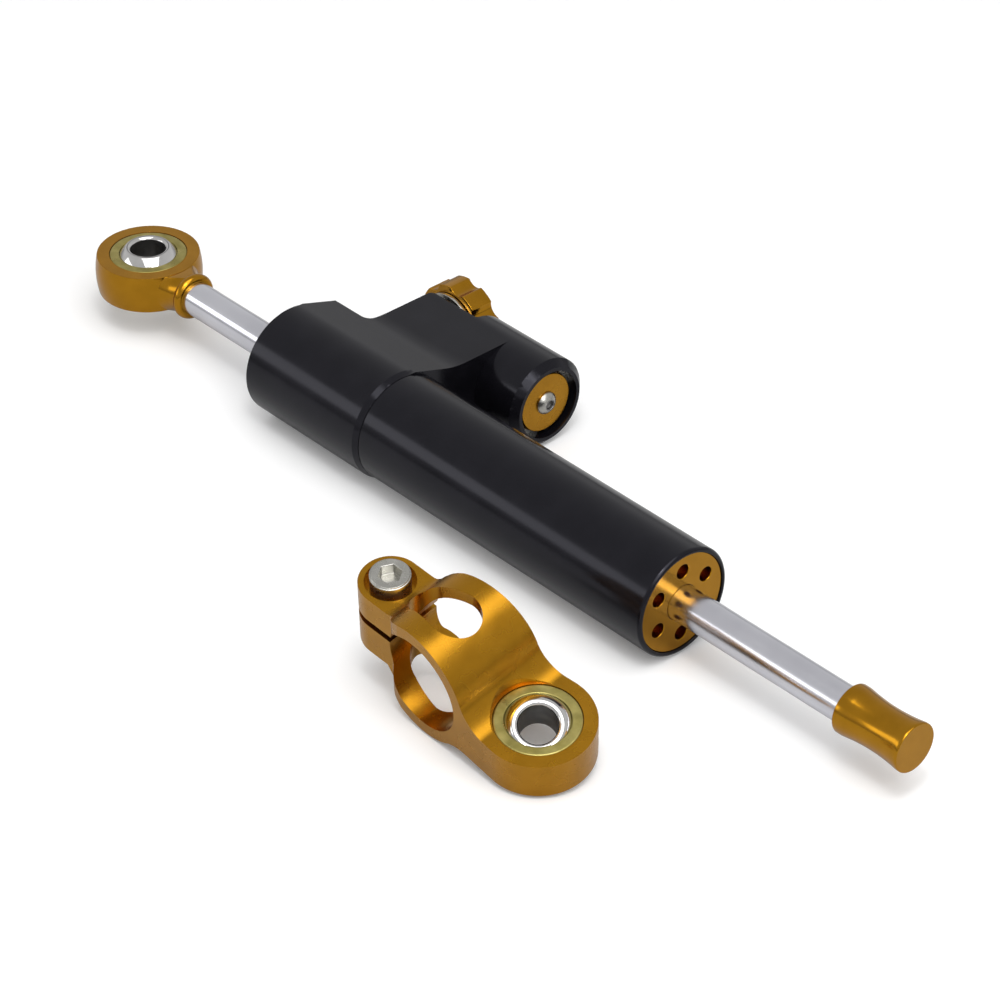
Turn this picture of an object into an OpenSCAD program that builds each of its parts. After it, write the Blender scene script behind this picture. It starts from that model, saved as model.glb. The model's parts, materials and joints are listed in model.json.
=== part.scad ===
// Motorcycle steering damper with a through rod, a side reservoir and a loose ring clamp.
// The damper axis is X, with the bumper towards +X. The reservoir lies towards +Y, and +Z is up.
// The origin is on the axis, half way along the free tube.

/* [Main tube] */
// Outside diameter of the tube
tube_d = 25; // [24:0.25:28]
// Bore of the tube
bore_d = 20; // [18:0.25:20.5]
// Length of tube between the head and the front rim
tube_len = 87; // [80:1:120]
// Depth of the end cap's seat in the tube
cap_seat = 15; // [14:0.5:20]
// Length of the tube's spigot inside the head
spigot_len = 15; // [12:0.5:18]

/* [Valve body] */
// Outside diameter of the head
head_d = 26; // [26:0.25:30]
// Length of the head
head_len = 37.8; // [36:0.2:45]
// Length of the bevel at the head's front rim
head_bevel = 1.5; // [0.5:0.1:2.5]
// Slope of the web where it leaves the head, in degrees
web_slope = 18.5; // [12:0.5:24]
// Radius of the hollow between the web's slope and its flat
web_fillet = 20; // [10:1:30]
// Width from the axis to the trimmed side of the head's rear part
trim_y = 13.6; // [13:0.1:16]
// Width from the axis to the knob's face of the valve block
block_y = 33; // [31:0.5:38]
// Distance from the knob's axis to the back of the valve block
block_rear = 4.2; // [4:0.2:7]
// Radius of the plan fillets of the valve block
block_fillet = 2; // [1:0.5:6]

/* [Reservoir] */
// Distance of the reservoir's axis from the damper axis
res_y = 32; // [30:0.5:36]
// Height of the reservoir's axis over the damper axis
res_z = -2.3; // [-4:0.1:0]
// Outside diameter of the reservoir barrel
res_d = 21.4; // [20:0.2:24]
// Bore of the reservoir
res_bore = 16.4; // [14:0.2:17]
// Length of the barrel in front of the head's front face
res_len = 13; // [8:0.5:20]
// Depth of the reservoir's bore
res_depth = 23; // [21:0.5:26]
// Wall between the end of the reservoir's bore and the knob's rim
res_end_wall = 2; // [1.5:0.1:3]
// Bevel of the reservoir's lip
res_lip = 1.6; // [0.5:0.1:2]
// Length of the floating piston
float_len = 5; // [4.5:0.25:6]
// Turns of the compensator spring
spring_turns = 4; // [3:1:6]

/* [Rod and piston] */
// Diameter of the piston rod
rod_d = 8; // [7:0.25:9]
// Length of the piston
piston_len = 14; // [10:0.5:18]
// Place of the piston's middle along the damper axis
piston_x = -15; // [-18:1:-10]
// Length of rod between the head and the rod eye
rear_rod = 33.4; // [32:0.2:60]
// Length of rod between the front rim and the bumper
front_rod = 46.5; // [44:0.5:70]
// Length of the bumper
bumper_len = 17; // [12:0.5:24]
// Diameter of the bumper's outer end
bumper_d = 11; // [10.5:0.25:14]
// Depth of the bumper's concave waist
bumper_waist = 0.6; // [0.3:0.1:1]

/* [Glands] */
// Length of the bushes
bush_len = 6; // [4:0.5:7]
// Outside diameter of the bushes
bush_d = 11; // [10.5:0.25:11.5]
// Length of the rod seals
seal_len = 4; // [3:0.25:4.5]
// Outside diameter of the rod seals
seal_d = 14; // [13:0.25:15]
// Length of the wall that holds a rod wiper
lip_len = 3; // [2.5:0.25:4]
// Length of the end cap
cap_len = 14.5; // [14:0.25:14.75]
// Circle of the pin spanner holes
pin_circle = 15.4; // [15:0.1:17]
// Diameter of the pin spanner holes
pin_d = 3.3; // [2:0.1:3.5]

/* [Spherical bearings] */
// Bolt bore of the balls
ball_bore = 8; // [6:0.25:8.5]
// Diameter of the balls
ball_d = 15.8; // [15:0.1:16.2]
// Width of the balls
ball_w = 12; // [10.5:0.25:12.5]
// Outside diameter of the races
race_d = 18; // [17:0.25:18.5]
// Width of the races, and of the eye and the lug round them
race_w = 9; // [7:0.25:9.5]

/* [Rod eye] */
// Distance from the end of the eye's collar to the bearing axis
eye_reach = 17.6; // [17:0.2:24]
// Diameter of the eye at its flat faces
eye_face_d = 23.8; // [23:0.2:28]
// Bulge of the eye's side past its flat faces
eye_bulge = 0.5; // [0.2:0.1:1.5]
// Diameter of the collar where the rod enters
collar_d = 11; // [10.5:0.25:13]

/* [Adjuster] */
// Diameter of the knob
knob_d = 20.4; // [18:0.2:24]
// Thickness of the knob
knob_t = 5.8; // [5:0.1:7]
// Gap between the valve block and the knob
knob_gap = 2.2; // [2:0.1:5]
// Lobes round the knob
knob_lobes = 8; // [6:1:12]
// Click stops of the knob
click_stops = 20; // [12:1:24]

/* [Clamp] */
// Bore of the split ring
ring_bore = 22; // [18:0.5:23]
// Wall of the split ring
ring_wall = 2.8; // [2:0.1:4]
// Distance from the ring's axis to the bearing axis
ring_reach = 23.5; // [22.5:0.25:30]
// Distance from the screw's axis to the ring's axis
screw_reach = 17.1; // [16.5:0.1:19]
// Diameter of the round lug
lug_d = 23.8; // [22:0.2:27]
// Width of the ring at the end that faces the screw
ring_end_w = 18.5; // [16:0.5:21]
// Diameter of the screw's boss
boss_d = 13.2; // [12.6:0.2:15]
// Height of the boss over the ring's axis
boss_top = 9; // [8:0.25:10]
// Depth of the boss under the ring's axis
boss_drop = 7; // [6.5:0.25:9]
// Width of the slit
slit_w = 1.7; // [1:0.1:2.5]
// Height of the slit over the ring's axis
slit_c = 1.6; // [0:0.1:2]
// Diameter of the clamp screw's thread
screw_d = 5; // [4:0.5:5]
// Place of the clamp's bearing on the surface that the damper lies on
clamp_place = [50.7, -47.1]; // [-80:0.1:80]
// Lean, pitch and turn of the clamp as it lies, in degrees
clamp_turn = [9.7, 8.5, 4]; // [-15:0.1:15]
// Tilt of the clamp's ball in its race, in degrees
ball_tilt = 20; // [0:1:24]

/* [Clearances] */
// Radial gap of a piece that is seated for good
seat_gap = 0.02; // [0.01:0.01:0.03]
// Radial gap of a piece that runs in another
run_gap = 0.05; // [0.03:0.01:0.08]

/* [Hidden] */
$fn = 96;

// Colours
black_anodised = [0.10, 0.10, 0.12];
gold_anodised = [0.72, 0.47, 0.12];
chrome_steel = [0.80, 0.80, 0.84];
zinc_yellow = [0.70, 0.66, 0.34];
stainless = [0.72, 0.72, 0.70];
bronze = [0.66, 0.48, 0.26];
seal_black = [0.07, 0.07, 0.07];
slide_white = [0.88, 0.86, 0.80];

// Tube and head
tube_r = tube_d / 2;
bore_r = bore_d / 2;
head_r = head_d / 2;
tube_front = tube_len / 2;
head_front = -tube_len / 2;
head_back = head_front - head_len;
cap_r = bore_r + 1.4;
spigot_r = bore_r + 1.4;
spigot_back = head_front - spigot_len;
rim_bevel = 0.5;
back_bevel = 0.4;
over = 1;

// Rod glands
rod_r = rod_d / 2;
wiper_r = rod_r + 0.6;
wiper_len = 1.5;
lip_edge = 0.8;
bush_r = bush_d / 2;
seal_r = seal_d / 2;
chamber_back = head_back + lip_len + bush_len + seal_len;
cap_recess = 0.4;
cap_front = tube_front - cap_recess;
cap_back = cap_front - cap_len;
cap_bush_back = cap_front - lip_len - bush_len;
cap_seal_back = cap_bush_back - seal_len;
pin_depth = 4;
pin_count = 6;

// Rings of rubber, by the radius of their section
cord_r = 0.75;
thin_cord_r = 0.4;
groove_room = 0.15;
cap_o_x = cap_back + 4;
tube_o_x = spigot_back + 4;

// Reservoir
res_r = res_d / 2;
res_bore_r = res_bore / 2;
res_front = head_front + res_len;
res_back = res_front - res_depth;
disc_r = res_bore_r - 1.1;
disc_recess = 1.2;
disc_front = res_front - disc_recess;
clip_t = 1.1;
clip_front = disc_front - 1.6;
clip_depth = 0.6;
flange_front = clip_front - clip_t - run_gap;
flange_back = flange_front - 3.6;
float_x = res_back + 2.5;
float_front = float_x + float_len;
bleed_r = 1.5;
bleed_head_r = 2.7;
bleed_head_h = 1.7;
bleed_dome_r = 3.4;
bleed_len = 6;
spring_wire_r = 0.6;
spring_r = res_bore_r - 2.7;

// Web and valve block
web_z = res_z + res_r;
web_y = (head_r - web_z * cos(web_slope)) / sin(web_slope);
web_t = web_fillet * tan(web_slope / 2);
knob_r = knob_d / 2;
barrel_free = res_back - res_end_wall;
knob_clear = 0.6;
knob_x = barrel_free - knob_clear - knob_r;
block_back = knob_x - block_rear;
block_round = 1.5;
barrel_fillet = 0.8;
tall = 40;

// Adjuster, along Y
bonnet_r = 2.8;
bonnet_in = 6;
collar_bonnet_r = 6;
disc_bonnet_r = knob_r - 1.8;
disc_bonnet_t = 0.9;
spigot_knob_r = 3.5;
knob_in = block_y + knob_gap;
knob_out = knob_in + knob_t;
bonnet_face = knob_in - 0.2;
bonnet_o_y = block_y - bonnet_in / 2;
bonnet_o_w = 2 * (thin_cord_r + groove_room);
knob_floor = knob_out - 1.4;
needle_r = 1;
needle_tip_r = 0.3;
needle_cone = 2;
gallery_r = 1.7;
orifice_r = 0.7;
orifice_end = bore_r + 3;
needle_start = orifice_end - 0.6;
needle_end = knob_out - 0.3;
link_y = res_y - 6.5;
link_r = 1.2;
retainer_r = 4.6;
retainer_t = 0.8;
retainer_y = knob_floor - 1;
detent_circle = 6.4;
detent_ball_r = 0.8;
detent_depth = 3.6;
click_depth = 0.2;
click_track = disc_bonnet_t / 2;
detent_y = bonnet_face - click_track + run_gap + detent_ball_r;
scallop_r = 2.6;
scallop_out = 1.5;
scallop_turn = 36;

// Rod, eye and bumper
collar_end = head_back - rear_rod;
eye_x = collar_end - eye_reach;
rod_back = collar_end - 6.5;
bumper_back = tube_front + front_rod;
bumper_front = bumper_back + bumper_len;
bumper_r = bumper_d / 2;
rod_front = bumper_front - 5;
bumper_lip = 0.8;
waist_len = bumper_len - 3 * bumper_lip;
eye_face_r = eye_face_d / 2;
eye_r = eye_face_r + eye_bulge;
eye_arc = (pow(race_w / 2, 2) + pow(eye_bulge, 2)) / (2 * eye_bulge);
collar_r = collar_d / 2;
collar_len = 2.6;
neck_r = collar_r - 0.6;
neck_fillet = 8;
neck_step = 0.1;
race_r = race_d / 2;
ball_r = ball_d / 2;
ball_bore_r = ball_bore / 2;
ball_bevel = 0.5;
piston_r = bore_r - run_gap - 0.05;
ring_w = 4;
ring_in = bore_r - 1.5;
circlip_t = 1;
circlip_r = rod_r + 0.9;
circlip_in = rod_r - 0.35;

// Clamp, in its own frame: X from the ring to the lug, Y along the ring's bore, Z square to the lug
ring_r = ring_bore / 2;
ring_out_r = ring_r + ring_wall;
lug_r = lug_d / 2;
boss_r = boss_d / 2;
boss_x = -ring_reach - screw_reach;
shoulder_x = -ring_reach - 10.2;
shoulder_r = 3;
shoulder_w = ring_end_w / 2;
notch_r = shoulder_w - boss_r;
top_fillet = 8;
low_fillet = 10;
boss_fillet = 4;
bite = 0.03;
seat_over = 0.4;
window_wide = 5.5;
window_narrow = 4;
window_len = 7.5;
screw_r = screw_d / 2;
screw_head_r = screw_r * 1.7;
screw_head_h = screw_d;
screw_seat = boss_top - 2.75;
screw_room = 1.1;
screw_len = 12;
hex_r = screw_d * 0.44 / cos(30);
floor_z = -head_r;
ball_low = (ball_w / 2) * cos(33) + sqrt(pow(ball_r, 2) - pow(ball_w / 2, 2)) * sin(33);
clamp_z = floor_z + ball_low + race_w / 2;

// Shapes that repeat

module along_x(x0, x1) {
  translate([x0, 0, 0]) rotate([90, 0, 90]) linear_extrude(height = x1 - x0) children();
}

module revolve_x() {
  rotate([0, 90, 0]) rotate_extrude() children();
}

module shaft_x(r, x0, x1) {
  translate([x0, 0, 0]) rotate([0, 90, 0]) cylinder(r = r, h = x1 - x0);
}

module shaft_y(r, y0, y1) {
  translate([0, y0, 0]) rotate([-90, 0, 0]) cylinder(r = r, h = y1 - y0);
}

module sleeve_x(r_out, r_in, x0, x1) {
  difference() {
    shaft_x(r_out, x0, x1);
    shaft_x(r_in, x0 - over, x1 + over);
  }
}

module cord_ring_x(r, x, c = cord_r) {
  translate([x, 0, 0]) revolve_x() translate([r, 0]) circle(r = c, $fn = 32);
}

module cord_groove_x(r_out, x, c = cord_r) {
  w = 2 * (c + groove_room);
  sleeve_x(r_out + over, r_out - 2 * c - groove_room, x - w / 2, x + w / 2);
}

module at_reservoir() {
  translate([0, res_y, res_z]) children();
}

module at_knob() {
  translate([knob_x, 0, 0]) children();
}

module at_eye() {
  translate([eye_x, 0, 0]) children();
}

module at_clamp() {
  translate([clamp_place[0], clamp_place[1], clamp_z]) rotate(clamp_turn) children();
}

// A wire wound round X in one unbroken tube, with six sides and twelve rings to a turn
module coil_x(r, wire_r, x0, x1, turns) {
  sides = 6;
  steps = 12 * turns;
  run = x1 - x0 - 2 * wire_r;
  points = [for (i = [0 : steps]) for (j = [0 : sides - 1])
    let (t = 360 * turns * i / steps, q = 360 * j / sides, d = r + wire_r * cos(q))
    [x0 + wire_r + run * i / steps + wire_r * sin(q), d * cos(t), d * sin(t)]];
  wall = [for (i = [0 : steps - 1]) for (j = [0 : sides - 1])
    let (a = i * sides + j, b = i * sides + (j + 1) % sides)
    each [[a, b, a + sides], [b, b + sides, a + sides]]];
  cap = [for (j = [1 : sides - 2]) [0, j + 1, j]];
  last = steps * sides;
  tail = [for (j = [1 : sides - 2]) [last, last + j, last + j + 1]];
  polyhedron(points = points, faces = concat(wall, cap, tail));
}

module ball() {
  difference() {
    intersection() {
      sphere(r = ball_r);
      cylinder(r = ball_r + over, h = ball_w, center = true);
    }
    cylinder(r = ball_bore_r, h = ball_w + 2, center = true);
    for (s = [0, 1]) mirror([0, 0, s]) translate([0, 0, ball_w / 2 - ball_bevel])
      cylinder(r1 = ball_bore_r, r2 = ball_bore_r + 2 * ball_bevel, h = 2 * ball_bevel);
  }
}

module race() {
  difference() {
    cylinder(r = race_r, h = race_w, center = true);
    sphere(r = ball_r + run_gap);
  }
}

// Valve body

module web_section() {
  side = head_r * sin(web_slope);
  top = head_r * cos(web_slope);
  polygon([[0, top], [side, top], [web_y, web_z], [res_y, web_z],
    [res_y, -web_z], [web_y, -web_z], [side, -top], [0, -top]]);
  for (s = [0, 1]) mirror([0, s]) difference() {
    polygon([[web_y - web_t * cos(web_slope), web_z + web_t * sin(web_slope)],
      [web_y, web_z], [web_y + web_t, web_z]]);
    translate([web_y + web_t, web_z + web_fillet]) circle(r = web_fillet);
  }
  translate([res_y, res_z]) circle(r = res_r);
}

module plan_outline() {
  translate([head_back, 0]) square([head_len, trim_y]);
  difference() {
    translate([block_back, 0]) square([head_front - block_back, block_y]);
    translate([block_back, block_y - block_round]) difference() {
      translate([-over, 0]) square([block_round + over, block_round + over]);
      translate([block_round, 0]) circle(r = block_round);
    }
  }
  translate([barrel_free, 0]) square([head_front - barrel_free, tall]);
  difference() {
    translate([block_back - block_fillet, trim_y - over]) square([block_fillet + over, block_fillet + over]);
    translate([block_back - block_fillet, trim_y + block_fillet]) circle(r = block_fillet);
  }
  difference() {
    translate([barrel_free - barrel_fillet, block_y - over]) square([barrel_fillet + over, barrel_fillet + over]);
    translate([barrel_free - barrel_fillet, block_y + barrel_fillet]) circle(r = barrel_fillet);
  }
}

module valve_body() color(black_anodised) difference() {
  union() {
    revolve_x() polygon([[0, head_back], [head_r - back_bevel, head_back], [head_r, head_back + back_bevel],
      [head_r, head_front - head_bevel], [tube_r, head_front], [0, head_front]]);
    intersection() {
      along_x(head_back, head_front) web_section();
      translate([0, 0, -tall / 2]) linear_extrude(height = tall) plan_outline();
    }
    at_reservoir() revolve_x() polygon([[0, barrel_free], [res_r, barrel_free], [res_r, res_front - res_lip],
      [res_r - res_lip, res_front], [0, res_front]]);
  }
  // Rod gland and damping chamber
  shaft_x(rod_r + run_gap, head_back - over, chamber_back);
  shaft_x(wiper_r, head_back + lip_edge, chamber_back);
  shaft_x(bush_r + seat_gap, head_back + lip_len, chamber_back);
  shaft_x(seal_r + seat_gap, chamber_back - seal_len, chamber_back + over);
  shaft_x(bore_r, chamber_back, head_front);
  shaft_x(spigot_r + seat_gap, spigot_back - seat_gap, head_front + over);
  // Reservoir bore with its circlip groove
  at_reservoir() shaft_x(res_bore_r, res_back, res_front + over);
  at_reservoir() shaft_x(res_bore_r + clip_depth, clip_front - clip_t - run_gap, clip_front + run_gap);
  // Oil ways and the bonnet's seat
  at_knob() shaft_y(orifice_r, 0, orifice_end);
  at_knob() shaft_y(gallery_r, orifice_end, block_y);
  at_knob() shaft_y(bonnet_r + seat_gap, block_y - bonnet_in, block_y + tall);
  translate([0, link_y, 0]) shaft_x(link_r, knob_x, res_back + over);
}

module main_tube() color(black_anodised) difference() {
  union() {
    revolve_x() polygon([[0, head_front], [tube_r, head_front], [tube_r, tube_front - rim_bevel],
      [tube_r - rim_bevel, tube_front], [0, tube_front]]);
    shaft_x(spigot_r, spigot_back, head_front + over);
  }
  shaft_x(bore_r, spigot_back - over, tube_front + over);
  shaft_x(cap_r + seat_gap, tube_front - cap_seat, tube_front + over);
  cord_groove_x(spigot_r, tube_o_x, thin_cord_r);
}

module tube_o_ring() color(seal_black) cord_ring_x(spigot_r - thin_cord_r - 0.04, tube_o_x, thin_cord_r);

// Front gland

module end_cap() color(gold_anodised) difference() {
  shaft_x(cap_r, cap_back, cap_front);
  shaft_x(rod_r + run_gap, cap_back - over, cap_front + over);
  shaft_x(wiper_r, cap_back - over, cap_front - lip_edge);
  shaft_x(bush_r + seat_gap, cap_back - over, cap_front - lip_len);
  shaft_x(seal_r + seat_gap, cap_back - over, cap_bush_back);
  for (i = [0 : pin_count - 1]) rotate([i * 360 / pin_count, 0, 0])
    translate([0, 0, pin_circle / 2]) shaft_x(pin_d / 2, cap_front - pin_depth, cap_front + over);
  cord_groove_x(cap_r, cap_o_x);
}

module end_cap_o_ring() color(seal_black) cord_ring_x(cap_r - cord_r - 0.04, cap_o_x);

module front_bush() color(bronze) sleeve_x(bush_r, rod_r + run_gap, cap_bush_back, cap_front - lip_len);

module front_rod_seal() color(seal_black) sleeve_x(seal_r, rod_r + run_gap, cap_seal_back, cap_bush_back);

module front_wiper() color(seal_black)
  sleeve_x(wiper_r - seat_gap, rod_r + run_gap, cap_front - lip_edge - wiper_len, cap_front - lip_edge);

// Rear gland

module rear_bush() color(bronze)
  sleeve_x(bush_r, rod_r + run_gap, head_back + lip_len, head_back + lip_len + bush_len);

module rear_rod_seal() color(seal_black)
  sleeve_x(seal_r, rod_r + run_gap, chamber_back - seal_len, chamber_back);

module rear_wiper() color(seal_black)
  sleeve_x(wiper_r - seat_gap, rod_r + run_gap, head_back + lip_edge, head_back + lip_edge + wiper_len);

// Reservoir

module reservoir_cap() color(gold_anodised) at_reservoir() difference() {
  union() {
    shaft_x(res_bore_r - seat_gap, flange_back, flange_front);
    shaft_x(disc_r, flange_front - over, disc_front);
  }
  shaft_x(bleed_r + seat_gap, flange_back - over, disc_front + over);
  cord_groove_x(res_bore_r - seat_gap, (flange_back + flange_front) / 2);
}

module reservoir_o_ring() color(seal_black) at_reservoir()
  cord_ring_x(res_bore_r - cord_r - 0.06, (flange_back + flange_front) / 2);

module reservoir_circlip() color(stainless) at_reservoir() difference() {
  sleeve_x(res_bore_r + clip_depth - run_gap, disc_r + 0.3, clip_front - clip_t, clip_front);
  translate([clip_front - clip_t - over, -1, -tall]) cube([clip_t + 2 * over, 2, tall]);
}

module bleed_screw() color(stainless) at_reservoir() difference() {
  union() {
    shaft_x(bleed_r, disc_front - bleed_len, disc_front + bleed_head_h / 2);
    revolve_x() intersection() {
      translate([0, disc_front]) square([bleed_head_r, bleed_head_h]);
      translate([0, disc_front + bleed_head_h - bleed_dome_r]) circle(r = bleed_dome_r);
    }
  }
  translate([disc_front + 0.5, 0, 0]) rotate([0, 90, 0]) cylinder(r = 1.15, h = 3, $fn = 6);
}

module floating_piston() color(gold_anodised) at_reservoir() difference() {
  shaft_x(res_bore_r - run_gap, float_x, float_front);
  cord_groove_x(res_bore_r - run_gap, float_x + float_len / 2);
  shaft_x(spring_r + 2 * spring_wire_r, float_front - 1.5, float_front + over);
}

module floating_piston_o_ring() color(seal_black) at_reservoir()
  cord_ring_x(res_bore_r - cord_r - 0.06, float_x + float_len / 2);

module compensator_spring() color(stainless) at_reservoir()
  coil_x(spring_r, spring_wire_r, float_front - 1.5 + run_gap, flange_back - run_gap, spring_turns);

// Adjuster

module valve_bonnet() color(stainless) at_knob() difference() {
  union() {
    shaft_y(bonnet_r, block_y - bonnet_in, block_y + over);
    shaft_y(collar_bonnet_r, block_y, bonnet_face);
    shaft_y(disc_bonnet_r, bonnet_face - disc_bonnet_t, bonnet_face);
    shaft_y(spigot_knob_r, block_y, retainer_y + retainer_t + 0.2);
  }
  shaft_y(needle_r + run_gap, block_y - bonnet_in - over, knob_out + over);
  // Track and dimples of the click stops
  difference() {
    shaft_y(detent_circle + detent_ball_r + 0.2, bonnet_face - click_track, bonnet_face + over);
    shaft_y(detent_circle - detent_ball_r - 0.2, bonnet_face - 2 * over, bonnet_face + 2 * over);
  }
  for (i = [0 : click_stops - 1]) rotate([0, i * 360 / click_stops, 0])
    translate([detent_circle, 0, 0]) shaft_y(0.45, bonnet_face - click_track - click_depth, bonnet_face);
  // Grooves of the seal and of the knob's retainer
  difference() {
    shaft_y(bonnet_r + over, bonnet_o_y - bonnet_o_w / 2, bonnet_o_y + bonnet_o_w / 2);
    shaft_y(bonnet_r - 2 * thin_cord_r - groove_room, bonnet_o_y - over, bonnet_o_y + over);
  }
  difference() {
    shaft_y(spigot_knob_r + over, retainer_y - run_gap, retainer_y + retainer_t + run_gap);
    shaft_y(spigot_knob_r - 0.5, retainer_y - over, retainer_y + retainer_t + over);
  }
}

module bonnet_o_ring() color(seal_black) at_knob() translate([0, bonnet_o_y, 0])
  rotate([90, 0, 0]) rotate_extrude() translate([bonnet_r - thin_cord_r - 0.04, 0]) circle(r = thin_cord_r, $fn = 32);

module knob_retainer() color(stainless) at_knob() difference() {
  shaft_y(retainer_r, retainer_y, retainer_y + retainer_t);
  shaft_y(spigot_knob_r - 0.5 + run_gap, retainer_y - over, retainer_y + retainer_t + over);
  translate([-0.75, retainer_y - over, -tall]) cube([1.5, retainer_t + 2 * over, tall]);
}

module detent_ball() color(chrome_steel) at_knob() translate([detent_circle, detent_y, 0])
  sphere(r = detent_ball_r);

module detent_spring() color(stainless) at_knob() translate([detent_circle, 0, 0]) rotate([0, 0, 90])
  coil_x(detent_ball_r - 0.3, 0.15, detent_y + detent_ball_r * 0.9, knob_in + detent_depth - run_gap, 3);

module adjuster_knob() color(gold_anodised) at_knob() difference() {
  translate([0, knob_in, 0]) rotate([-90, 0, 0]) linear_extrude(height = knob_t) difference() {
    circle(r = knob_r);
    for (i = [0 : knob_lobes - 1]) rotate(i * 360 / knob_lobes - scallop_turn)
      translate([knob_r + scallop_out, 0]) circle(r = scallop_r);
  }
  shaft_y(spigot_knob_r + run_gap, knob_in - over, retainer_y);
  shaft_y(retainer_r + 0.4, retainer_y - run_gap, knob_floor);
  shaft_y(needle_r + run_gap, knob_in, knob_out + over);
  translate([detent_circle, 0, 0]) shaft_y(detent_ball_r + run_gap, knob_in - over, knob_in + detent_depth);
}

module needle_valve() color(chrome_steel) at_knob() {
  shaft_y(needle_r, needle_start + needle_cone, needle_end);
  translate([0, needle_start, 0]) rotate([-90, 0, 0]) cylinder(r1 = needle_tip_r, r2 = needle_r, h = needle_cone);
}

// Rod assembly

module piston_ring() color(slide_white)
  sleeve_x(bore_r - run_gap, ring_in + run_gap, piston_x - ring_w / 2 + run_gap, piston_x + ring_w / 2 - run_gap);

module piston() color(gold_anodised) difference() {
  shaft_x(piston_r, piston_x - piston_len / 2, piston_x + piston_len / 2);
  shaft_x(rod_r + seat_gap, piston_x - piston_len, piston_x + piston_len);
  sleeve_x(bore_r + over, ring_in, piston_x - ring_w / 2, piston_x + ring_w / 2);
}

module piston_circlips() color(stainless) for (s = [-1, 1]) difference() {
  translate([piston_x + s * (piston_len / 2 + circlip_t / 2 + seat_gap), 0, 0])
    sleeve_x(circlip_r, circlip_in + seat_gap, -circlip_t / 2, circlip_t / 2);
  translate([piston_x + s * piston_len / 2 - 2 * over, -0.75, -tall]) cube([4 * over, 1.5, tall]);
}

module piston_rod() color(chrome_steel) difference() {
  shaft_x(rod_r, rod_back, rod_front);
  for (s = [-1, 1]) translate([piston_x + s * (piston_len / 2 + circlip_t / 2 + seat_gap), 0, 0])
    sleeve_x(rod_r + over, circlip_in, -circlip_t / 2 - seat_gap, circlip_t / 2 + seat_gap);
}

module rod_eye() color(gold_anodised) difference() {
  union() {
    at_eye() rotate_extrude() intersection() {
      translate([eye_r - eye_arc, 0]) circle(r = eye_arc);
      translate([0, -race_w / 2]) square([eye_r, race_w]);
    }
    // Neck that spreads into the eye, and the rounded collar
    at_eye() eye_neck();
    revolve_x() intersection() {
      translate([0, collar_end - collar_len]) square([collar_r, collar_len]);
      union() {
        translate([collar_r - collar_len / 2, collar_end - collar_len / 2]) circle(r = collar_len / 2);
        translate([0, collar_end - collar_len]) square([collar_r - collar_len / 2, collar_len]);
      }
    }
  }
  at_eye() cylinder(r = race_r + seat_gap, h = race_w + 2 * over, center = true);
  shaft_x(rod_r + seat_gap, rod_back - seat_gap, collar_end + over);
}

// Round neck with a hollow curve that meets the eye's outline, and flats that run out towards the collar
module eye_neck() {
  spread = eye_face_r / (eye_face_r + neck_fillet);
  reach = sqrt(pow(eye_face_r + neck_fillet, 2) - pow(neck_r + neck_fillet, 2));
  start = spread * reach;
  end = collar_end - eye_x - collar_len / 2;
  flat = race_w / 2 - neck_step;
  intersection() {
    revolve_x() difference() {
      translate([0, start]) square([spread * (neck_r + neck_fillet), end - start]);
      translate([neck_r + neck_fillet - bite, reach]) circle(r = neck_fillet);
      translate([neck_r, reach - bite]) square([neck_fillet, end]);
    }
    rotate([90, 0, 0]) linear_extrude(height = 2 * eye_r, center = true) polygon([[start - over, -flat],
      [eye_face_r, -flat], [end + over, -neck_r - neck_step], [end + over, neck_r + neck_step],
      [eye_face_r, flat], [start - over, flat]]);
  }
}

module eye_race() color(zinc_yellow) at_eye() race();

module eye_ball() color(chrome_steel) at_eye() ball();

module stroke_bumper() color(gold_anodised) difference() {
  revolve_x() difference() {
    translate([0, bumper_back]) square([bumper_r, bumper_len]);
    translate([bumper_r - bumper_waist + bumper_arc(), bumper_front - bumper_lip - waist_len / 2])
      circle(r = bumper_arc(), $fn = 200);
  }
  shaft_x(rod_r + seat_gap, bumper_back - over, rod_front + seat_gap);
}

// Radius of the waist's curve, which runs out just inside both ends
function bumper_arc() = (pow(waist_len / 2, 2) + pow(bumper_waist, 2)) / (2 * bumper_waist);

// Clamp

// Filling of a hollow corner: a round of points about c from angle a0 to a1, closed through the given core
module hollow(c, r, a0, a1, core) {
  polygon(concat([for (i = [0 : 16]) let (t = a0 + (a1 - a0) * i / 16) c + r * [cos(t), sin(t)]], core));
}

module across() {
  rotate([90, 0, 0]) linear_extrude(height = 2 * lug_r + 2 * over, center = true) children();
}

// Ring, lug and boss as seen from the side, with hollow curves at the roots of the lug and the boss
module clamp_blank() {
  top_c = top_fillet - bite;
  low_c = race_w + low_fillet - bite;
  top_x = sqrt(pow(ring_out_r + top_c, 2) - pow(top_c, 2));
  low_x = sqrt(pow(ring_out_r + low_fillet - bite, 2) - pow(low_c, 2));
  across() translate([-ring_reach, 0]) circle(r = ring_out_r);
  across() translate([-ring_reach, -race_w]) square([ring_reach + lug_r + over, race_w]);
  across() translate([boss_x - boss_r - over, -boss_drop])
    square([screw_reach + boss_r + over, boss_top + boss_drop]);
  across() hollow([top_x - ring_reach, top_c], top_fillet, 180 + atan2(top_c, top_x), 270,
    [[top_x - ring_reach, -2], [-ring_reach, 0]]);
  across() hollow([low_x - ring_reach, -low_c], low_fillet, 180 - atan2(low_c, low_x), 90,
    [[low_x - ring_reach, 2 - race_w], [-ring_reach, 0]]);
  boss_c = boss_top + boss_fillet - bite;
  root_x = sqrt(pow(ring_out_r + boss_fillet - bite, 2) - pow(boss_c, 2));
  across() hollow([-root_x - ring_reach, boss_c], boss_fillet, -atan2(boss_c, root_x), -90,
    [[-root_x - ring_reach, boss_top - 2], [-ring_reach, 0]]);
}

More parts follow.
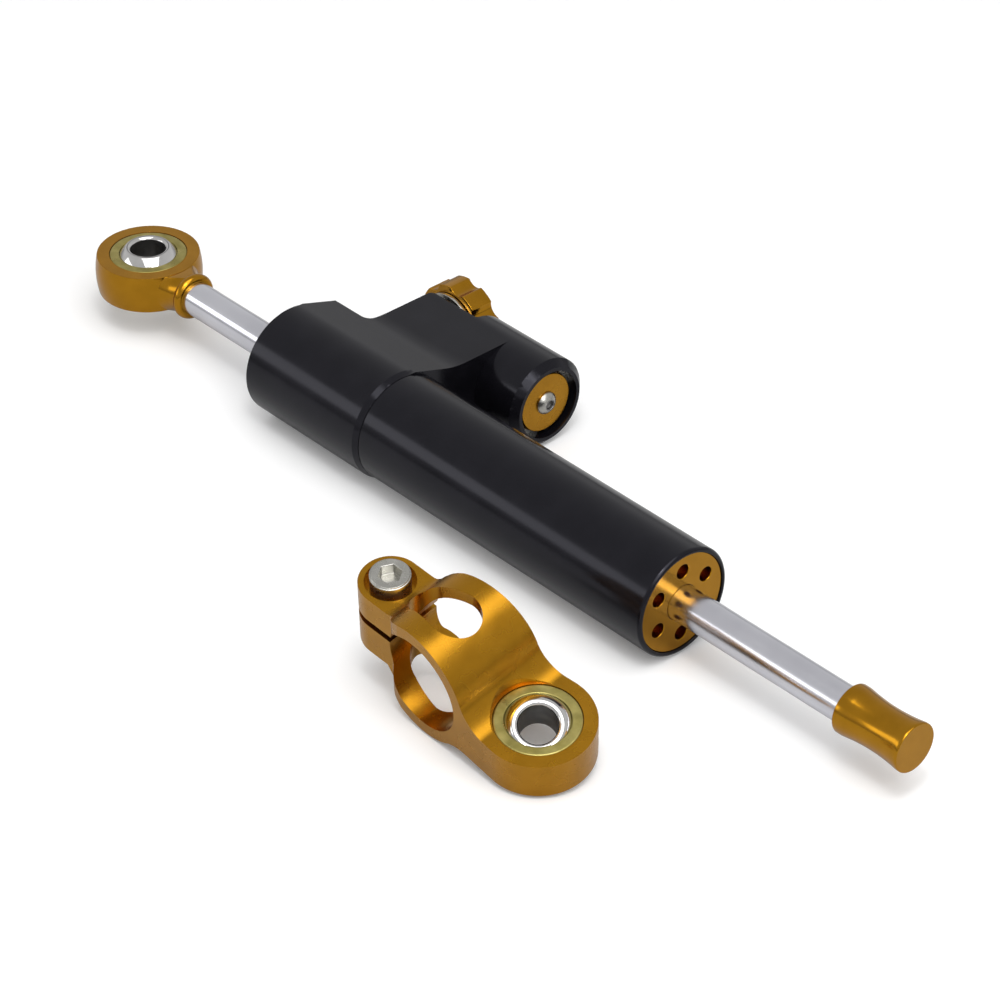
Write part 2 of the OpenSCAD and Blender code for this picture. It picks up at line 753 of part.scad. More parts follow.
module clamp_plan() {
  taper = atan2(lug_r - shoulder_w, -shoulder_x);
  circle(r = lug_r);
  for (s = [0, 1]) mirror([0, s]) {
    polygon([[0, 0], [lug_r * -sin(taper), lug_r * cos(taper)], [shoulder_x + shoulder_r, shoulder_w],
      [shoulder_x + shoulder_r, 0]]);
    translate([shoulder_x + shoulder_r, shoulder_w - shoulder_r]) circle(r = shoulder_r);
    translate([shoulder_x, 0]) square([shoulder_r + over, shoulder_w - shoulder_r]);
    difference() {
      translate([shoulder_x - notch_r, 0]) square([notch_r + over, boss_r + notch_r]);
      translate([shoulder_x - notch_r, boss_r + notch_r]) circle(r = notch_r);
    }
  }
  translate([boss_x, 0]) circle(r = boss_r);
  translate([boss_x, -boss_r]) square([shoulder_x - boss_x, 2 * boss_r]);
}

module clamp_window() {
  wide_x = -ring_reach + 1;
  narrow_x = wide_x - window_len;
  translate([wide_x, 0]) circle(r = window_wide);
  translate([narrow_x, 0]) circle(r = window_narrow);
  difference() {
    translate([narrow_x, -window_wide]) square([window_len, 2 * window_wide]);
    for (s = [-1, 1]) translate([narrow_x, 0])
      rotate(s * asin((window_wide - window_narrow) / window_len))
        translate([-tall, s > 0 ? window_narrow : -window_narrow - tall]) square([2 * tall, tall]);
  }
}

module clamp_body() color(gold_anodised) at_clamp() difference() {
  intersection() {
    clamp_blank();
    translate([0, 0, -tall]) linear_extrude(height = 2 * tall) clamp_plan();
  }
  across() translate([-ring_reach, 0]) circle(r = ring_r);
  across() translate([boss_x - tall, slit_c - slit_w / 2]) square([tall + screw_reach, slit_w]);
  translate([0, 0, -tall]) linear_extrude(height = 2 * tall) clamp_window();
  // Bearing seat, which cuts into the hollow of the ring
  translate([0, 0, -race_w - over]) cylinder(r = race_r + seat_gap, h = race_w + over + 0.01);
  cylinder(r = race_r + seat_over, h = tall);
  // Screw hole, clear above the slit and tapped below it, under a sunk seat
  translate([boss_x, 0, slit_c]) cylinder(r = screw_r + 0.25, h = tall);
  translate([boss_x, 0, -tall]) cylinder(r = screw_r + seat_gap, h = tall + slit_c);
  translate([boss_x, 0, screw_seat]) cylinder(r = screw_head_r + screw_room, h = tall);
}

module clamp_screw() color(stainless) at_clamp() translate([boss_x, 0, screw_seat]) difference() {
  union() {
    translate([0, 0, -screw_len]) cylinder(r = screw_r, h = screw_len + over);
    cylinder(r = screw_head_r, h = screw_head_h - 0.3);
    cylinder(r = screw_head_r - 0.3, h = screw_head_h);
  }
  translate([0, 0, screw_head_h / 2]) cylinder(r = hex_r, h = screw_head_h, $fn = 6);
}

module clamp_race() color(zinc_yellow) at_clamp() translate([0, 0, -race_w / 2]) race();

module clamp_ball() color(chrome_steel) at_clamp() translate([0, 0, -race_w / 2])
  rotate(a = ball_tilt, v = [1, 1, 0]) ball();

valve_body();
main_tube();
end_cap();
front_bush();
front_rod_seal();
front_wiper();
end_cap_o_ring();
rear_bush();
rear_rod_seal();
rear_wiper();
tube_o_ring();
reservoir_cap();
reservoir_circlip();
reservoir_o_ring();
bleed_screw();
compensator_spring();
floating_piston();
floating_piston_o_ring();
valve_bonnet();
bonnet_o_ring();
knob_retainer();
detent_ball();
detent_spring();
adjuster_knob();
needle_valve();
piston_ring();
piston_rod();
piston();
piston_circlips();
rod_eye();
eye_race();
eye_ball();
stroke_bumper();
clamp_body();
clamp_screw();
clamp_race();
clamp_ball();
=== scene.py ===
import json
import math

import bmesh
import bpy
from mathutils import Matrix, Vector


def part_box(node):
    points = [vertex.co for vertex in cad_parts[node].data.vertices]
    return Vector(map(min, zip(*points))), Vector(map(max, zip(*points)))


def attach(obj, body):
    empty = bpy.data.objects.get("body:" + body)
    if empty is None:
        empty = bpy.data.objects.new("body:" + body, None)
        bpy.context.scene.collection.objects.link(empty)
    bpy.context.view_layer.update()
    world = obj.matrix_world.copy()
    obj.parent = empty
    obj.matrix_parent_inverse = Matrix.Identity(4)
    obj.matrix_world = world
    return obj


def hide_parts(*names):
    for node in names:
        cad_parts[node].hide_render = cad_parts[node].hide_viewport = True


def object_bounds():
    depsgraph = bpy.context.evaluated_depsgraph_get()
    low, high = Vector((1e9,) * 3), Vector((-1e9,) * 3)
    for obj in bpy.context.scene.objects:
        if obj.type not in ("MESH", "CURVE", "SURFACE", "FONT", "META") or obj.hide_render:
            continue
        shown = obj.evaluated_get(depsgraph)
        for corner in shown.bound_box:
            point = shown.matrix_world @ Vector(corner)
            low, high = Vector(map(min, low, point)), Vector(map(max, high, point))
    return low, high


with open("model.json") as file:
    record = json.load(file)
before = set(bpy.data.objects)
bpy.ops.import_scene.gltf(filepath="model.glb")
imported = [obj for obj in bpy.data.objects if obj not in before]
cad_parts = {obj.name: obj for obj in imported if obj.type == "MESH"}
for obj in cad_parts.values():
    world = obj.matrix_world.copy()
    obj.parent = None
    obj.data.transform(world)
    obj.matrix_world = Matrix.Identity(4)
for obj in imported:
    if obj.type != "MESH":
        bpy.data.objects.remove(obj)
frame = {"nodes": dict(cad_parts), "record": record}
cadLow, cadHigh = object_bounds()
nodes = frame["nodes"]
record = frame["record"]
mm = 0.001
slotOf = {row["node"]: row["material_slot"] for row in record["subparts"]}
mounts = {mount["name"]: mount for mount in record["mounts"]}
joints = {joint["name"]: joint for joint in record["behaviour"]["joints"]}
print("frame loaded:", len(nodes), "nodes")


# small helpers that stand in for clicking about

def clearSelection():
    if bpy.context.mode != "OBJECT":
        bpy.ops.object.mode_set(mode="OBJECT")
    bpy.ops.object.select_all(action="DESELECT")


def pick(piece):
    clearSelection()
    piece.select_set(True)
    bpy.context.view_layer.objects.active = piece


def editAll(piece):
    pick(piece)
    bpy.ops.object.mode_set(mode="EDIT")
    bpy.ops.mesh.select_all(action="SELECT")


def applyModifier(piece, kind, name, **settings):
    pick(piece)
    modifier = piece.modifiers.new(name, kind)
    for key, value in settings.items():
        setattr(modifier, key, value)
    bpy.ops.object.modifier_apply(modifier=modifier.name)


def bodyOf(nodeName):
    for body, held in record["behaviour"]["bodies"].items():
        if nodeName in held:
            return body
    raise KeyError(nodeName)


# how closely a solid's faces are merged, and which corners are broken or only kept crisp, in mm and degrees
meshing = {"mergeWithin": 0.002, "flatWithin": 0.05, "breakFrom": 30, "crispFrom": 15, "flatPull": 80}


def mergeFaces(piece):
    editAll(piece)
    bpy.ops.mesh.remove_doubles(threshold=meshing["mergeWithin"] * mm)
    bpy.ops.mesh.dissolve_limited(angle_limit=math.radians(meshing["flatWithin"]))
    bpy.ops.object.mode_set(mode="OBJECT")


# a merged copy of a machined piece, to be finished by hand
def copyOf(nodeName, pieceName):
    piece = bpy.data.objects.new(pieceName, nodes[nodeName].data.copy())
    bpy.context.scene.collection.objects.link(piece)
    piece.data.materials.clear()
    editAll(piece)
    bpy.ops.mesh.customdata_custom_splitnormals_clear()
    mergeFaces(piece)
    return piece


# breaks the sharp edges as a deburring wheel does: "edge" everywhere, and "wide" where isWide picks an edge
# shallower corners stay crisp, and the shading follows the larger faces, so that flats look flat
def breakEdges(piece, shape, isWide=None):
    widest = shape.get("wide", shape["edge"])
    mesh = bmesh.new()
    mesh.from_mesh(piece.data)
    weight = mesh.edges.layers.float.new("bevel_weight_edge")
    for edge in mesh.edges:
        corner = math.degrees(edge.calc_face_angle(0))
        if corner > meshing["breakFrom"]:
            edge[weight] = 1.0 if isWide and isWide(edge) else shape["edge"] / widest
        elif corner > meshing["crispFrom"]:
            edge.smooth = False
    mesh.to_mesh(piece.data)
    mesh.free()
    applyModifier(piece, "BEVEL", "brokenEdges", width=widest * mm, segments=shape.get("segments", 2),
                  limit_method="WEIGHT", use_clamp_overlap=True, face_strength_mode="FSTR_ALL")
    bpy.ops.object.shade_smooth(keep_sharp_edges=True)
    applyModifier(piece, "WEIGHTED_NORMAL", "flatFlats", mode="FACE_AREA", weight=meshing["flatPull"],
                  keep_sharp=True, use_face_influence=True)


def fit(piece, nodeName, finish):
    piece.data.materials.append(finish)
    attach(piece, bodyOf(nodeName))
    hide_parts(nodeName)
    print(piece.name, len(piece.data.polygons), "faces")


# painted shade: the faces of a hole, within radius of its axis, take a darker steel that stands in for the
# shade inside the hole
def paintHoleShade(piece, centre, axis, radius):
    piece.data.materials.append(shadedBoreSteel)
    for face in piece.data.polygons:
        arm = face.center - centre
        if (arm - axis * arm.dot(axis)).length < radius:
            face.material_index = 1


# materials: the stretch of noise that a colour or a roughness spreads over, and how lathe marks run
noiseSpread = {"colour": (0.35, 0.68), "roughness": (0.3, 0.7)}
latheMarks = {"radiansPerUnit": 20, "distortion": 0.6, "detail": 1.0}


def startMaterial(name):
    material = bpy.data.materials.new(name)
    material.use_nodes = True
    tree = material.node_tree
    shader = tree.nodes["Principled BSDF"]
    coords = tree.nodes.new("ShaderNodeTexCoord")
    return material, tree, shader, coords


def addNoise(tree, coords, scale, detail=3.0, stretch=None):
    noise = tree.nodes.new("ShaderNodeTexNoise")
    noise.inputs["Scale"].default_value = scale
    noise.inputs["Detail"].default_value = detail
    source = coords.outputs["Object"]
    if stretch:
        mapping = tree.nodes.new("ShaderNodeMapping")
        mapping.inputs["Scale"].default_value = stretch
        tree.links.new(source, mapping.inputs["Vector"])
        source = mapping.outputs["Vector"]
    tree.links.new(source, noise.inputs["Vector"])
    return noise


# fine lathe marks: rings of the given pitch round an axis through centre
def addTurnedRings(tree, coords, turned):
    mapping = tree.nodes.new("ShaderNodeMapping")
    mapping.inputs["Location"].default_value = [-value for value in turned["centre"]]
    tree.links.new(coords.outputs["Object"], mapping.inputs["Vector"])
    rings = tree.nodes.new("ShaderNodeTexWave")
    rings.wave_type = "RINGS"
    rings.rings_direction = turned["axis"]
    rings.inputs["Scale"].default_value = 2 * math.pi / (latheMarks["radiansPerUnit"] * turned["pitch"] * mm)
    rings.inputs["Distortion"].default_value = latheMarks["distortion"]
    rings.inputs["Detail"].default_value = latheMarks["detail"]
    tree.links.new(mapping.outputs["Vector"], rings.inputs["Vector"])
    return rings


def colourFromNoise(tree, noise, shader, dark, light):
    ramp = tree.nodes.new("ShaderNodeValToRGB")
    for stop, place, colour in zip(ramp.color_ramp.elements, noiseSpread["colour"], (dark, light)):
        stop.position = place
        stop.color = (*colour, 1)
    tree.links.new(noise.outputs["Fac"], ramp.inputs["Fac"])
    tree.links.new(ramp.outputs["Color"], shader.inputs["Base Color"])


def roughnessFromNoise(tree, noise, shader, low, high):
    spread = tree.nodes.new("ShaderNodeMapRange")
    least, most = noiseSpread["roughness"]
    spread.inputs["From Min"].default_value = least
    spread.inputs["From Max"].default_value = most
    spread.inputs["To Min"].default_value = low
    spread.inputs["To Max"].default_value = high
    tree.links.new(noise.outputs["Fac"], spread.inputs["Value"])
    tree.links.new(spread.outputs["Result"], shader.inputs["Roughness"])


def addBump(tree, pattern, strength, height, under=None):
    bump = tree.nodes.new("ShaderNodeBump")
    bump.inputs["Strength"].default_value = strength
    bump.inputs["Distance"].default_value = height
    tree.links.new(pattern.outputs["Fac"], bump.inputs["Height"])
    if under:
        tree.links.new(under.outputs["Normal"], bump.inputs["Normal"])
    return bump


def makeFinish(name, look, turned=None):
    material, tree, shader, coords = startMaterial(name)
    shader.inputs["Metallic"].default_value = look["metallic"]
    shader.inputs["Specular IOR Level"].default_value = look.get("specular", 0.5)
    shader.inputs["Specular Tint"].default_value = (*look.get("tint", (1, 1, 1)), 1)
    shader.inputs["Coat Weight"].default_value = look.get("coat", 0.0)
    shader.inputs["Coat Roughness"].default_value = look.get("coatRoughness", 0.3)
    blotch = addNoise(tree, coords, look["blotchScale"])
    colourFromNoise(tree, blotch, shader, look["dark"], look["light"])
    smear = addNoise(tree, coords, look["smearScale"], stretch=look.get("smearStretch"))
    roughnessFromNoise(tree, smear, shader, *look["roughness"])
    grain = addNoise(tree, coords, look["grainScale"], detail=2.0, stretch=look.get("grainStretch"))
    bump = addBump(tree, grain, look["grainStrength"], look["grainHeight"])
    if turned:
        rings = addTurnedRings(tree, coords, turned)
        bump = addBump(tree, rings, turned["strength"], turned["height"], under=bump)
    tree.links.new(bump.outputs["Normal"], shader.inputs["Normal"])
    return material


blackLook = {"metallic": 0.0, "specular": 0.30, "tint": (0.86, 0.86, 1.0),
             "dark": (0.0035, 0.0033, 0.0046), "light": (0.0055, 0.0052, 0.0070),
             "blotchScale": 140, "smearScale": 70, "roughness": (0.13, 0.19),
             "grainScale": 5200, "grainStrength": 0.10, "grainHeight": 0.00002}
goldLook = {"metallic": 1.0, "dark": (0.45, 0.21, 0.010), "light": (0.51, 0.24, 0.013),
            "coat": 0.10, "coatRoughness": 0.30, "blotchScale": 210, "smearScale": 160,
            "roughness": (0.24, 0.30), "grainScale": 2600, "grainStrength": 0.05, "grainHeight": 0.00002}
brightGoldLook = {**goldLook, "roughness": (0.15, 0.21), "grainStrength": 0.03}
rodLook = {"metallic": 1.0, "dark": (0.76, 0.76, 0.82), "light": (0.84, 0.84, 0.90),
           "blotchScale": 90, "smearScale": 120, "smearStretch": (0.1, 1, 1), "roughness": (0.17, 0.23),
           "grainScale": 2600, "grainStretch": (1, 0.06, 0.06), "grainStrength": 0.05, "grainHeight": 0.00001}
ballLook = {"metallic": 1.0, "dark": (0.70, 0.69, 0.68), "light": (0.78, 0.77, 0.76),
            "blotchScale": 240, "smearScale": 300, "roughness": (0.06, 0.12),
            "grainScale": 3000, "grainStrength": 0.03, "grainHeight": 0.00001}
raceLook = {"metallic": 0.9, "dark": (0.33, 0.28, 0.08), "light": (0.48, 0.41, 0.14),
            "blotchScale": 330, "smearScale": 420, "roughness": (0.24, 0.44),
            "grainScale": 2400, "grainStrength": 0.25, "grainHeight": 0.00004}
steelLook = {"metallic": 1.0, "dark": (0.50, 0.49, 0.45), "light": (0.62, 0.61, 0.57),
             "blotchScale": 300, "smearScale": 420, "roughness": (0.22, 0.34),
             "grainScale": 3200, "grainStrength": 0.12, "grainHeight": 0.00002}
# painted shade for the inside of bores and sockets: a darker steel in place of the shade that falls there
shadedBoreLook = {"metallic": 1.0, "dark": (0.20, 0.20, 0.20), "light": (0.30, 0.29, 0.28),
            "blotchScale": 300, "smearScale": 420, "roughness": (0.30, 0.40),
            "grainScale": 3200, "grainStrength": 0.12, "grainHeight": 0.00002}
bronzeLook = {"metallic": 1.0, "dark": (0.40, 0.25, 0.10), "light": (0.50, 0.32, 0.14),
              "blotchScale": 500, "smearScale": 600, "roughness": (0.36, 0.48),
              "grainScale": 3800, "grainStrength": 0.3, "grainHeight": 0.00003}
rubberLook = {"metallic": 0.0, "specular": 0.3, "dark": (0.010, 0.010, 0.010), "light": (0.018, 0.018, 0.018),
              "blotchScale": 420, "smearScale": 600, "roughness": (0.55, 0.7),
              "grainScale": 5000, "grainStrength": 0.3, "grainHeight": 0.00003}
slideRingLook = {"metallic": 0.0, "specular": 0.4, "dark": (0.66, 0.63, 0.56), "light": (0.74, 0.71, 0.64),
                 "blotchScale": 420, "smearScale": 500, "roughness": (0.45, 0.6),
                 "grainScale": 4200, "grainStrength": 0.2, "grainHeight": 0.00002}

finishes = {
    "black_anodised": makeFinish("blackAnodised", blackLook),
    "gold_anodised": makeFinish("goldAnodised", goldLook),
    "chrome_steel": makeFinish("groundChrome", rodLook),
    "zinc_race": makeFinish("yellowZinc", raceLook),
    "stainless": makeFinish("plainStainless", steelLook),
    "bronze": makeFinish("sinteredBronze", bronzeLook),
    "seal_rubber": makeFinish("sealRubber", rubberLook),
    "slide_ring": makeFinish("slideRing", slideRingLook),
}
brightGold = makeFinish("brightGold", brightGoldLook)
polishedBall = makeFinish("polishedBall", ballLook)
# painted shade for the inside of holes
shadedBoreSteel = makeFinish("shadedBoreSteel", shadedBoreLook)
print("finishes made")

# the pieces inside keep their machined solids, in their own finish
for nodeName, node in nodes.items():
    for place in node.material_slots:
        place.material = finishes[slotOf[nodeName]]


# valve body: head, web, valve block and reservoir barrel, milled from one bar
headShape = {"edge": 0.35, "wide": 1.1, "segments": 3, "frontWithin": 0.3, "pastTube": 0.2}
valveBody = copyOf("valve_body", "valveBody")
tubeRadius = mounts["tube"]["dims"]["r_mm"] * mm
headFront = -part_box("main_tube")[1].x  # the free tube is centred on the origin


# the web's front edge, which the main tube doesn't cover
def besideTube(edge):
    middle = (edge.verts[0].co + edge.verts[1].co) / 2
    onFront = all(abs(corner.co.x - headFront) < headShape["frontWithin"] * mm for corner in edge.verts)
    return onFront and math.hypot(middle.y, middle.z) > tubeRadius + headShape["pastTube"] * mm


breakEdges(valveBody, headShape, isWide=besideTube)
fit(valveBody, "valve_body", finishes["black_anodised"])

# main tube
tubeShape = {"edge": 0.3}
mainTube = copyOf("main_tube", "mainTube")
breakEdges(mainTube, tubeShape)
fit(mainTube, "main_tube", finishes["black_anodised"])

# end cap with its pin spanner holes
capShape = {"edge": 0.2, "rings": {"axis": "X", "centre": (0, 0, 0), "pitch": 0.22, "strength": 0.10,
                                   "height": 0.00002}}
endCap = copyOf("end_cap", "endCap")
breakEdges(endCap, capShape)
turnedGold = makeFinish("turnedGold", brightGoldLook, capShape["rings"])
fit(endCap, "end_cap", turnedGold)

# piston rod and the bumper on its end
rodShape = {"edge": 0.3}
pistonRod = copyOf("piston_rod", "pistonRod")
breakEdges(pistonRod, rodShape)
fit(pistonRod, "piston_rod", finishes["chrome_steel"])

bumperShape = {"edge": 0.22}
strokeBumper = copyOf("stroke_bumper", "strokeBumper")
breakEdges(strokeBumper, bumperShape)
fit(strokeBumper, "stroke_bumper", turnedGold)

# reservoir cap with the bleed screw in its middle
lidShape = {"edge": 0.3}
lidLow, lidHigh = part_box("reservoir_cap")
lidCentre = (0, (lidLow.y + lidHigh.y) / 2, (lidLow.z + lidHigh.z) / 2)
lidRings = {"axis": "X", "centre": lidCentre, "pitch": 0.2, "strength": 0.10, "height": 0.00002}
reservoirCap = copyOf("reservoir_cap", "reservoirCap")
breakEdges(reservoirCap, lidShape)
fit(reservoirCap, "reservoir_cap", makeFinish("turnedLid", goldLook, lidRings))

bleedShape = {"edge": 0.12, "socket": 1.3}
bleedScrew = copyOf("bleed_screw", "bleedScrew")
breakEdges(bleedScrew, bleedShape)
fit(bleedScrew, "bleed_screw", finishes["stainless"])
# the socket of the bleed screw gets painted shade
paintHoleShade(bleedScrew, Vector(lidCentre), Vector((1, 0, 0)), bleedShape["socket"] * mm)

# knob: its lobes are rounded over, its two rims only broken
knobShape = {"edge": 0.4, "wide": 1.0, "segments": 3, "rimRadius": 8.6, "lobeRun": 1.0}
adjusterKnob = copyOf("adjuster_knob", "adjusterKnob")
knobAxis = Vector(joints["knob_turn"]["pos_m"])


def alongLobe(edge):
    start, end = (corner.co for corner in edge.verts)
    outward = math.hypot(start.x - knobAxis.x, start.z - knobAxis.z)
    return abs(end.y - start.y) > knobShape["lobeRun"] * mm and outward > knobShape["rimRadius"] * mm


breakEdges(adjusterKnob, knobShape, isWide=alongLobe)
fit(adjusterKnob, "adjuster_knob", brightGold)

# bonnet, whose disc shows under the knob
bonnetShape = {"edge": 0.15}
valveBonnet = copyOf("valve_bonnet", "valveBonnet")
breakEdges(valveBonnet, bonnetShape)
fit(valveBonnet, "valve_bonnet", finishes["stainless"])

# rod eye
eyeShape = {"edge": 0.15}
rodEye = copyOf("rod_eye", "rodEye")
breakEdges(rodEye, eyeShape)
fit(rodEye, "rod_eye", brightGold)

# split clamp: its shoulders are cut on both sides to a round that runs into the boss in a hollow
# shoulder sizes are in the clamp's plan, along and across from the middle of its ring
clampShape = {"edge": 0.2, "raceWidth": 9.0}
shoulder = {"round": 4.2, "centre": Vector((-6.0, 4.95)), "start": 105, "hollow": 1.5, "bossSide": 6.6,
            "leadIn": 2.6, "bossEnd": -13.2, "outside": 10.5, "height": 44}
clampBody = copyOf("clamp_body", "clampBody")
ringCentre = Vector(mounts["clamp_ring"]["pos_m"])
ringAxis = Vector(mounts["clamp_ring"]["axis"]).normalized()
toBall = Vector(joints["lug_swivel"]["pos_m"]) - ringCentre
lugDrop = math.asin(clampShape["raceWidth"] / 2 * mm / toBall.length)
upright = ringAxis.cross(toBall).normalized()
upright = upright if upright.z > 0 else -upright
alongLug = math.cos(lugDrop) * toBall.normalized() + math.sin(lugDrop) * upright
aboveLug = math.cos(lugDrop) * upright - math.sin(lugDrop) * toBall.normalized()


def arcPoints(centre, radius, start, end, steps=16):
    angles = [math.radians(start + (end - start) * step / steps) for step in range(steps + 1)]
    return [centre + radius * Vector((math.cos(angle), math.sin(angle))) for angle in angles]


def shoulderOutline():
    rise = shoulder["bossSide"] + shoulder["hollow"] - shoulder["centre"].y
    run = math.sqrt((shoulder["round"] + shoulder["hollow"]) ** 2 - rise ** 2)
    meet = math.degrees(math.atan2(rise, -run))
    outer = arcPoints(shoulder["centre"], shoulder["round"], shoulder["start"], meet)
    inner = arcPoints(shoulder["centre"] + Vector((-run, rise)), shoulder["hollow"], meet - 180, -90)
    start = math.radians(shoulder["start"])
    lead = outer[0] + shoulder["leadIn"] * Vector((math.sin(start), -math.cos(start)))
    clear = [Vector((shoulder["bossEnd"], shoulder["bossSide"])),
             Vector((shoulder["bossEnd"], shoulder["outside"])),
             Vector((lead.x, shoulder["outside"]))]
    return [lead] + outer + inner[1:] + clear


for side in (1, -1):
    start = ringCentre - aboveLug * shoulder["height"] / 2 * mm
    outline = [start + (alongLug * spot.x + ringAxis * spot.y * side) * mm for spot in shoulderOutline()]
    cutterMesh = bpy.data.meshes.new("shoulderCutter")
    cutterMesh.from_pydata(outline, [], [range(len(outline))])
    cutter = bpy.data.objects.new("shoulderCutter", cutterMesh)
    bpy.context.scene.collection.objects.link(cutter)
    editAll(cutter)
    bpy.ops.mesh.extrude_region_move(TRANSFORM_OT_translate={"value": aboveLug * shoulder["height"] * mm})
    bpy.ops.mesh.select_all(action="SELECT")
    bpy.ops.mesh.normals_make_consistent(inside=False)
    applyModifier(clampBody, "BOOLEAN", "roundedShoulder", object=cutter, operation="DIFFERENCE",
                  solver="EXACT")
    bpy.data.objects.remove(cutter)
mergeFaces(clampBody)
breakEdges(clampBody, clampShape)
fit(clampBody, "clamp_body", finishes["gold_anodised"])

# clamp screw
screwShape = {"edge": 0.25}
clampScrew = copyOf("clamp_screw", "clampScrew")
breakEdges(clampScrew, screwShape)
fit(clampScrew, "clamp_screw", finishes["stainless"])

# spherical bearings: a race and a ball in the eye, and the same in the clamp's lug
bearings = {"eye_race": "eyeRace", "eye_ball": "eyeBall",
            "clamp_race": "clampRace", "clamp_ball": "clampBall"}
ballBores = {"eye_ball": "eye_bore", "clamp_ball": "clamp_ball_bore"}
raceShape = {"edge": 0.4}
ballShape = {"edge": 0.2, "boreRoom": 0.05}
for nodeName, pieceName in bearings.items():
    bearingPiece = copyOf(nodeName, pieceName)
    breakEdges(bearingPiece, ballShape if nodeName in ballBores else raceShape)
    fit(bearingPiece, nodeName, polishedBall if nodeName in ballBores else finishes["zinc_race"])
    if nodeName in ballBores:
        bore = mounts[ballBores[nodeName]]
        boreReach = (bore["dims"]["r_mm"] + ballShape["boreRoom"]) * mm
        # the ball's bore gets painted shade
        paintHoleShade(bearingPiece, Vector(bore["pos_m"]), Vector(bore["axis"]), boreReach)


# floor: white to the eye, and dimmer in reflections, most of all beyond the sheet that the damper lies on
floorLook = {"size": 6.0, "white": 0.93, "sheet": (0.32, 0.60), "beyond": 0.30, "dimming": 0.6, "glow": 0.10,
             "roughness": 0.7, "specular": 0.1}
clearSelection()
bpy.ops.mesh.primitive_plane_add(size=floorLook["size"], location=(0, 0, cadLow.z))
floor = bpy.context.active_object
floor.name = "floor"
floorPaint, floorTree, floorShader, floorCoords = startMaterial("floorPaint")
floorShader.inputs["Roughness"].default_value = floorLook["roughness"]
floorShader.inputs["Specular IOR Level"].default_value = floorLook["specular"]
reach = floorTree.nodes.new("ShaderNodeVectorMath")
reach.operation = "LENGTH"
floorTree.links.new(floorCoords.outputs["Object"], reach.inputs[0])
fade = floorTree.nodes.new("ShaderNodeMapRange")
fade.interpolation_type = "SMOOTHSTEP"
fade.inputs["From Min"].default_value, fade.inputs["From Max"].default_value = floorLook["sheet"]
fade.inputs["To Min"].default_value = floorLook["dimming"]
floorTree.links.new(reach.outputs["Value"], fade.inputs["Value"])
rays = floorTree.nodes.new("ShaderNodeLightPath")
inReflection = floorTree.nodes.new("ShaderNodeMath")
inReflection.operation = "MULTIPLY"
floorTree.links.new(fade.outputs["Result"], inReflection.inputs[0])
floorTree.links.new(rays.outputs["Is Glossy Ray"], inReflection.inputs[1])
floorColour = floorTree.nodes.new("ShaderNodeMix")
floorColour.data_type = "RGBA"
floorColour.inputs["A"].default_value = (*[floorLook["white"]] * 3, 1)
floorColour.inputs["B"].default_value = (*[floorLook["beyond"]] * 3, 1)
floorTree.links.new(inReflection.outputs["Value"], floorColour.inputs["Factor"])
floorTree.links.new(floorColour.outputs["Result"], floorShader.inputs["Base Color"])
floorGlow = floorTree.nodes.new("ShaderNodeMath")
floorGlow.operation = "MULTIPLY"
floorGlow.inputs[1].default_value = floorLook["glow"]
floorTree.links.new(rays.outputs["Is Camera Ray"], floorGlow.inputs[0])
floorTree.links.new(floorGlow.outputs["Value"], floorShader.inputs["Emission Strength"])
floorShader.inputs["Emission Color"].default_value = (1, 1, 1, 1)
floor.data.materials.append(floorPaint)
print("floor laid")

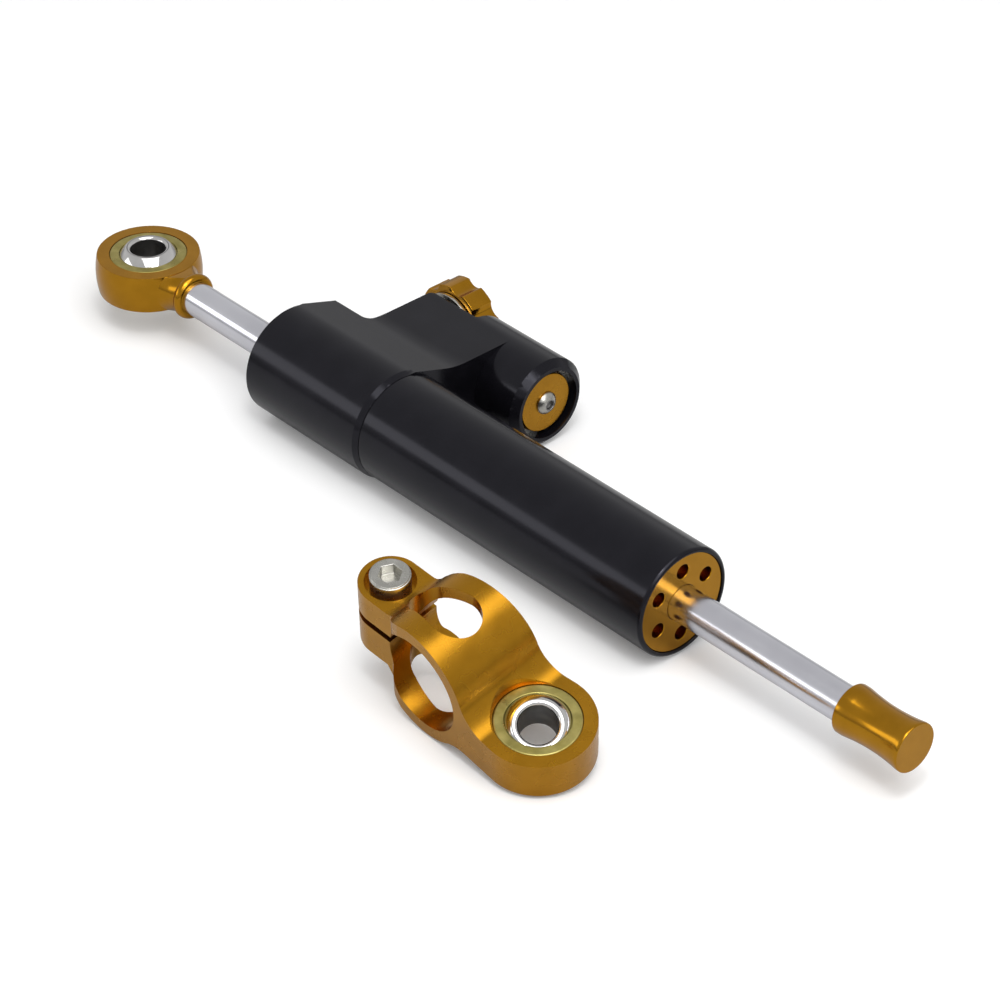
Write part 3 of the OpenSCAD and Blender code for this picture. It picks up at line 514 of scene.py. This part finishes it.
# room: grey at the skirting like the far floor, paler walls, an even ceiling
roomTones = {0.0: 0.28, 0.10: 0.45, 0.22: 0.60, 0.42: 0.55, 1.0: 0.50}
world = bpy.data.worlds.new("studio")
bpy.context.scene.world = world
world.use_nodes = True
worldTree = world.node_tree
backdrop = worldTree.nodes["Background"]
sky = worldTree.nodes.new("ShaderNodeTexCoord")
axes = worldTree.nodes.new("ShaderNodeSeparateXYZ")
tones = worldTree.nodes.new("ShaderNodeValToRGB")
stops = tones.color_ramp.elements
for place, tone in roomTones.items():
    stop = stops[0] if place == 0.0 else stops[-1] if place == 1.0 else stops.new(place)
    stop.color = (tone, tone, tone, 1)
worldTree.links.new(sky.outputs["Generated"], axes.inputs["Vector"])
worldTree.links.new(axes.outputs["Z"], tones.inputs["Fac"])
worldTree.links.new(tones.outputs["Color"], backdrop.inputs["Color"])

# soft boxes over the table, and a low window on the left
lamps = {
    "topBox": {"place": (0.30, -0.15, 0.85), "aim": (0.02, 0, 0), "size": (0.9, 0.9), "watts": 5.2},
    "keyBox": {"place": (0.29, -0.25, 0.82), "aim": (0, 0, 0), "size": (0.16, 0.16), "watts": 1.2},
    "sideBox": {"place": (0.75, -0.20, 0.55), "aim": (0, 0, 0), "size": (0.4, 0.4), "watts": 1.2},
    "window": {"place": (-0.50, -0.60, 0.25), "aim": (0.05, 0, 0), "size": (0.50, 0.22), "watts": 0.5},
}
for lampName, lamp in lamps.items():
    bpy.ops.object.light_add(type="AREA", location=lamp["place"])
    light = bpy.context.active_object
    light.name = lampName
    light.data.shape = "RECTANGLE"
    light.data.size, light.data.size_y = lamp["size"]
    light.data.energy = lamp["watts"]
    towards = Vector(lamp["aim"]) - Vector(lamp["place"])
    light.rotation_mode = "QUATERNION"
    light.rotation_quaternion = towards.to_track_quat("-Z", "Y")
print("lamps set:", len(lamps))

# camera at the photograph's angle
shot = {"azimuth": 47.533, "elevation": 35.161, "distance": 0.7847, "aim": (-0.00859, -0.00289, 0.0),
        "lens": 133.55, "sensor": 36, "near": 0.01, "far": 50}
turn = math.radians(shot["azimuth"])
rise = math.radians(shot["elevation"])
back = Vector((math.sin(turn) * math.cos(rise), -math.cos(turn) * math.cos(rise), math.sin(rise)))
bpy.ops.object.camera_add(location=Vector(shot["aim"]) + back * shot["distance"])
camera = bpy.context.active_object
camera.rotation_mode = "QUATERNION"
camera.rotation_quaternion = (-back).to_track_quat("-Z", "Y")
camera.data.lens = shot["lens"]
camera.data.sensor_width = shot["sensor"]
camera.data.clip_start = shot["near"]
camera.data.clip_end = shot["far"]
bpy.context.scene.camera = camera
bpy.context.scene.view_settings.view_transform = "Standard"
